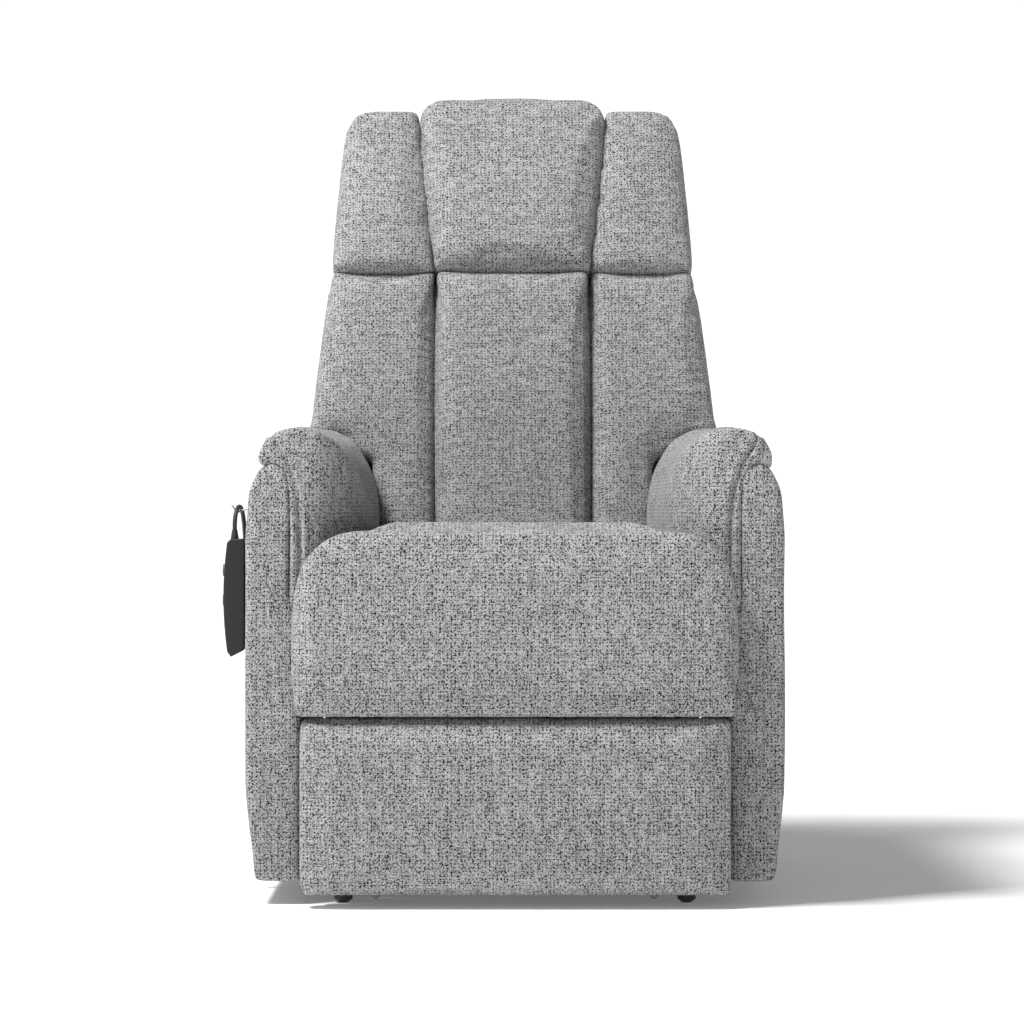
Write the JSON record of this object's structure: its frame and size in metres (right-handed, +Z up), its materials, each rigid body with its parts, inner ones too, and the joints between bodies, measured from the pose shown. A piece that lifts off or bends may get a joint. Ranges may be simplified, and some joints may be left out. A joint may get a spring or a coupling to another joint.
{
  "type": "lift recliner chair",
  "caption": "Upholstered lift recliner with a tilting lift base, reclining pad back, fold-out footrest, padded arms and a corded push-button handset.",
  "frame": {"origin": "middle of the whole object's footprint on the floor, at floor height", "axes": "+Z up; the chair faces -Y; +X is the sitter's left"},
  "size_m": [0.7516, 0.8164, 1.1504],
  "materials": {
    "frame_black": "satin black powder coat",
    "zinc": "zinc plated",
    "rod_steel": "bright rod",
    "motor_plastic": "moulded",
    "glide_plastic": "moulded",
    "fabric_grey": "chunky grey melange weave",
    "fabric_back": "finer grey basket weave",
    "ply": "plywood",
    "spring_wire": "drawn wire",
    "handset_plastic": "satin charcoal",
    "button_rubber": "soft keys",
    "cord_black": "cable sheath"
  },
  "bodies": {
    "base": {"base_side_rails": "frame_black", "base_crossbars": "frame_black", "floor_glides": "glide_plastic", "base_bolts": "zinc", "lift_link_brackets": "frame_black", "base_pivot_pins": "zinc", "lift_motor": "motor_plastic", "lift_motor_clevis": "frame_black"},
    "lift_rod": {"lift_push_rod": "rod_steel"},
    "rear_lift": {"rear_lift_links": "frame_black", "lift_torque_tube": "frame_black"},
    "front_lift": {"front_lift_links": "frame_black"},
    "seat": {"seat_side_plates": "frame_black", "seat_cross_rails": "ply", "motor_cross_tubes": "frame_black", "seat_pivot_pins": "zinc", "sinuous_springs": "spring_wire", "seat_cushion": "fabric_grey", "arm_boards": "ply", "arm_panel_left": "fabric_grey", "arm_panel_right": "fabric_grey", "arm_pad_left": "fabric_grey", "arm_pad_right": "fabric_grey", "rear_skirt": "fabric_grey", "back_motor": "motor_plastic", "leg_motor": "motor_plastic", "control_box": "motor_plastic", "mains_inlet": "motor_plastic", "cord_hook": "zinc", "handset_cord": "cord_black"},
    "back_rod": {"back_push_rod": "rod_steel"},
    "back": {"back_board": "ply", "back_hinge_arms": "frame_black", "back_torque_tube": "frame_black", "back_cover": "fabric_grey", "back_lumbar_left": "fabric_back", "back_lumbar_right": "fabric_back", "back_lumbar_centre": "fabric_back", "back_headrest_left": "fabric_back", "back_headrest_right": "fabric_back", "back_headrest_centre": "fabric_back"},
    "leg_rod": {"leg_push_rod": "rod_steel"},
    "leg_main": {"leg_main_links": "frame_black", "leg_main_pins": "zinc", "leg_torque_tube": "frame_black"},
    "leg_rear": {"leg_rear_links": "frame_black"},
    "leg_coupler": {"leg_coupler_bars": "frame_black", "leg_coupler_pins": "zinc"},
    "leg_lower": {"leg_lower_links": "frame_black"},
    "footrest": {"footrest_board": "ply", "footrest_pad": "fabric_grey", "footrest_brackets": "frame_black", "footrest_pins": "zinc"},
    "handset": {"handset_front_shell": "handset_plastic", "handset_back_shell": "handset_plastic", "cord_strain_relief": "cord_black"},
    "button_rise": {"button_rise": "button_rubber"},
    "button_lower": {"button_lower": "button_rubber"},
    "button_recline": {"button_recline": "button_rubber"},
    "button_upright": {"button_upright": "button_rubber"}
  },
  "joints": [
    {"name": "lift", "type": "hinge", "parent": "base", "child": "rear_lift", "pos_m": [0.01585, 0.14886, 0.08169], "axis": [-1, 0, 0], "range_deg": [0, 34.19]},
    {"name": "seat_tilt", "type": "hinge", "parent": "rear_lift", "child": "seat", "pos_m": [0.01585, -0.23104, 0.08964], "axis": [1, 0, 0], "range_deg": [0, 60.21]},
    {"name": "front_lift_pivot", "type": "hinge", "parent": "base", "child": "front_lift", "pos_m": [0.01585, -0.03543, 0.13821], "axis": [-1, 0, 0], "range_deg": [0, 43.77]},
    {"name": "lift_rod_slide", "type": "slide", "parent": "base", "child": "lift_rod", "axis": [0, 0.9605, 0.2782], "range_m": [0, 0.0698]},
    {"name": "back_recline", "type": "hinge", "parent": "seat", "child": "back", "pos_m": [0.01585, 0.18776, 0.35], "axis": [-1, 0, 0], "range_deg": [0, 40]},
    {"name": "back_rod_slide", "type": "slide", "parent": "seat", "child": "back_rod", "axis": [0, 0.9863, 0.1647], "range_m": [-0.0599, 0]},
    {"name": "footrest_lift", "type": "hinge", "parent": "seat", "child": "leg_main", "pos_m": [0.01585, -0.31124, 0.298], "axis": [-1, 0, 0], "range_deg": [0, 82]},
    {"name": "leg_rear_pivot", "type": "hinge", "parent": "seat", "child": "leg_rear", "pos_m": [0.01585, -0.27444, 0.2629], "axis": [-1, 0, 0], "range_deg": [0, 82.02]},
    {"name": "leg_coupler_pivot", "type": "hinge", "parent": "leg_main", "child": "leg_coupler", "pos_m": [0.01585, -0.23834, 0.1239], "axis": [1, 0, 0], "range_deg": [0, 82.02]},
    {"name": "leg_lower_pivot", "type": "hinge", "parent": "leg_main", "child": "leg_lower", "pos_m": [0.01585, -0.21866, 0.07689], "axis": [1, 0, 0], "range_deg": [0, 82.02]},
    {"name": "footrest_pivot", "type": "hinge", "parent": "leg_coupler", "child": "footrest", "pos_m": [0.01585, -0.32224, 0.205], "axis": [-1, 0, 0], "range_deg": [0, 82.02]},
    {"name": "leg_rod_slide", "type": "slide", "parent": "seat", "child": "leg_rod", "axis": [0, -0.9939, 0.1101], "range_m": [0, 0.087]},
    {"name": "handset_lift_off", "type": "slide", "parent": "seat", "child": "handset", "axis": [-1, 0, 0], "range_m": [0, 0.03], "deforming": ["handset_cord"]},
    {"name": "press_rise", "type": "slide", "parent": "handset", "child": "button_rise", "axis": [1, 0, 0], "range_m": [0, 0.001], "stiffness_N_per_m": 400},
    {"name": "press_lower", "type": "slide", "parent": "handset", "child": "button_lower", "axis": [1, 0, 0], "range_m": [0, 0.001], "stiffness_N_per_m": 400},
    {"name": "press_recline", "type": "slide", "parent": "handset", "child": "button_recline", "axis": [1, 0, 0], "range_m": [0, 0.001], "stiffness_N_per_m": 400},
    {"name": "press_upright", "type": "slide", "parent": "handset", "child": "button_upright", "axis": [1, 0, 0], "range_m": [0, 0.001], "stiffness_N_per_m": 400}
  ],
  "couplings": [
    {"joint": "seat_tilt", "follows": "lift", "ratio": 1.7605},
    {"joint": "front_lift_pivot", "follows": "lift", "ratio": 1.2796},
    {"joint": "lift_rod_slide", "follows": "lift", "m_per_rad": 0.11626},
    {"joint": "back_rod_slide", "follows": "back_recline", "m_per_rad": -0.085244},
    {"joint": "leg_rear_pivot", "follows": "footrest_lift", "ratio": 1},
    {"joint": "leg_coupler_pivot", "follows": "footrest_lift", "ratio": 1},
    {"joint": "leg_lower_pivot", "follows": "footrest_lift", "ratio": 1},
    {"joint": "footrest_pivot", "follows": "footrest_lift", "ratio": 1},
    {"joint": "leg_rod_slide", "follows": "footrest_lift", "m_per_rad": 0.06051}
  ]
}
